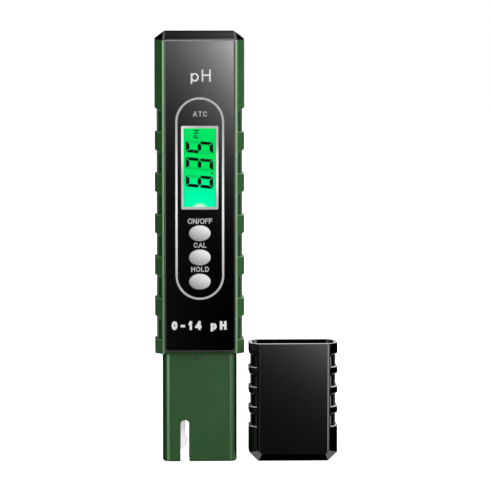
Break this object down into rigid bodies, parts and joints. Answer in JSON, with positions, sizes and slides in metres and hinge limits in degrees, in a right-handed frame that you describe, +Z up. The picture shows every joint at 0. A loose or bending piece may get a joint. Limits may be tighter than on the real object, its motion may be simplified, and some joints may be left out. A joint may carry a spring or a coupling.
{
  "type": "ph test pen",
  "caption": "Pocket pH test pen standing on its slotted electrode sleeve, with an upright display, three oval keys and grip notches, beside its loose protective cap.",
  "frame": {"origin": "on the table, at the middle of the pen and cap as they stand side by side", "axes": "+Z up along the pen towards its battery lid, -Y out of the display, +X from the pen to the cap"},
  "size_m": [0.0636, 0.0167, 0.1498],
  "materials": {
    "casing": "fine-textured dark green ABS",
    "sleeve": "smooth dark green ABS",
    "panel": "high gloss black",
    "black_cap": "semi-gloss black ABS",
    "silver_trim": "satin silver plating",
    "key_silver": "satin silver paint on plastic",
    "window": "clear acrylic",
    "lcd_glass": "clear",
    "light_guide": "green lit acrylic",
    "electrode_glass": "thin blown glass",
    "probe_body": "moulded, off-white",
    "white_plastic": "moulded",
    "tray_black": "moulded",
    "circuit_board": "solder mask",
    "chip": "moulded epoxy",
    "seal_rubber": "matte",
    "steel": "plain",
    "nickel": "nickel plated",
    "silver_wire": "drawn",
    "ceramic": "porous",
    "sponge": "open cell",
    "lead_red": "insulated",
    "lead_black": "insulated",
    "lead_white": "insulated"
  },
  "bodies": {
    "pen": {"front_shell": "casing", "rear_shell": "casing", "case_screw_upper": "steel", "case_screw_lower": "steel", "front_panel": "panel", "display_bezel": "silver_trim", "display_window": "window", "keypad_trim_ring": "silver_trim", "lcd_front_glass": "lcd_glass", "lcd_rear_glass": "lcd_glass", "lcd_light_guide": "light_guide", "backlight_lamp": "white_plastic", "lcd_contact_strip": "seal_rubber", "lcd_holder": "white_plastic", "switch_body_on_off": "chip", "switch_body_cal": "chip", "switch_body_hold": "chip", "main_board": "circuit_board", "microcontroller": "chip", "input_amplifier": "chip", "clock_crystal": "steel", "filter_capacitor": "steel", "probe_lead_glass": "lead_white", "probe_lead_temperature": "lead_black", "probe_lead_reference": "lead_red", "battery_lead_negative": "lead_black", "battery_lead_positive": "lead_red", "battery_tray": "tray_black", "battery_cell_1": "nickel", "battery_cell_2": "nickel", "battery_cell_3": "nickel", "battery_cell_4": "nickel", "battery_contact_negative": "nickel", "battery_contact_positive": "nickel", "battery_spring": "nickel", "electrode_sleeve": "sleeve", "sleeve_locating_plug": "sleeve", "sleeve_seal": "seal_rubber", "electrode_carrier": "white_plastic", "glass_electrode": "electrode_glass", "silver_wire": "silver_wire", "reference_electrode": "probe_body", "reference_junction": "ceramic", "temperature_probe": "steel"},
    "key_on_off_body": {"key_on_off": "key_silver", "switch_plunger_on_off": "white_plastic"},
    "key_cal_body": {"key_cal": "key_silver", "switch_plunger_cal": "white_plastic"},
    "key_hold_body": {"key_hold": "key_silver", "switch_plunger_hold": "white_plastic"},
    "battery_lid": {"battery_cap": "black_cap", "battery_cap_seal": "seal_rubber"},
    "cap": {"protective_cap": "black_cap", "storage_sponge": "sponge"}
  },
  "joints": [
    {"name": "on_off_press", "type": "slide", "parent": "pen", "child": "key_on_off_body", "axis": [0, 1, 0], "range_m": [0, 0.0005], "stiffness_N_per_m": 2000},
    {"name": "cal_press", "type": "slide", "parent": "pen", "child": "key_cal_body", "axis": [0, 1, 0], "range_m": [0, 0.0005], "stiffness_N_per_m": 2000},
    {"name": "hold_press", "type": "slide", "parent": "pen", "child": "key_hold_body", "axis": [0, 1, 0], "range_m": [0, 0.0005], "stiffness_N_per_m": 2000},
    {"name": "battery_lid_slide", "type": "slide", "parent": "pen", "child": "battery_lid", "axis": [0, 0, 1], "range_m": [0, 0.02]},
    {"name": "cap_lift", "type": "slide", "parent": "pen", "child": "cap", "axis": [0, 0, 1], "range_m": [0, 0.045]}
  ]
}
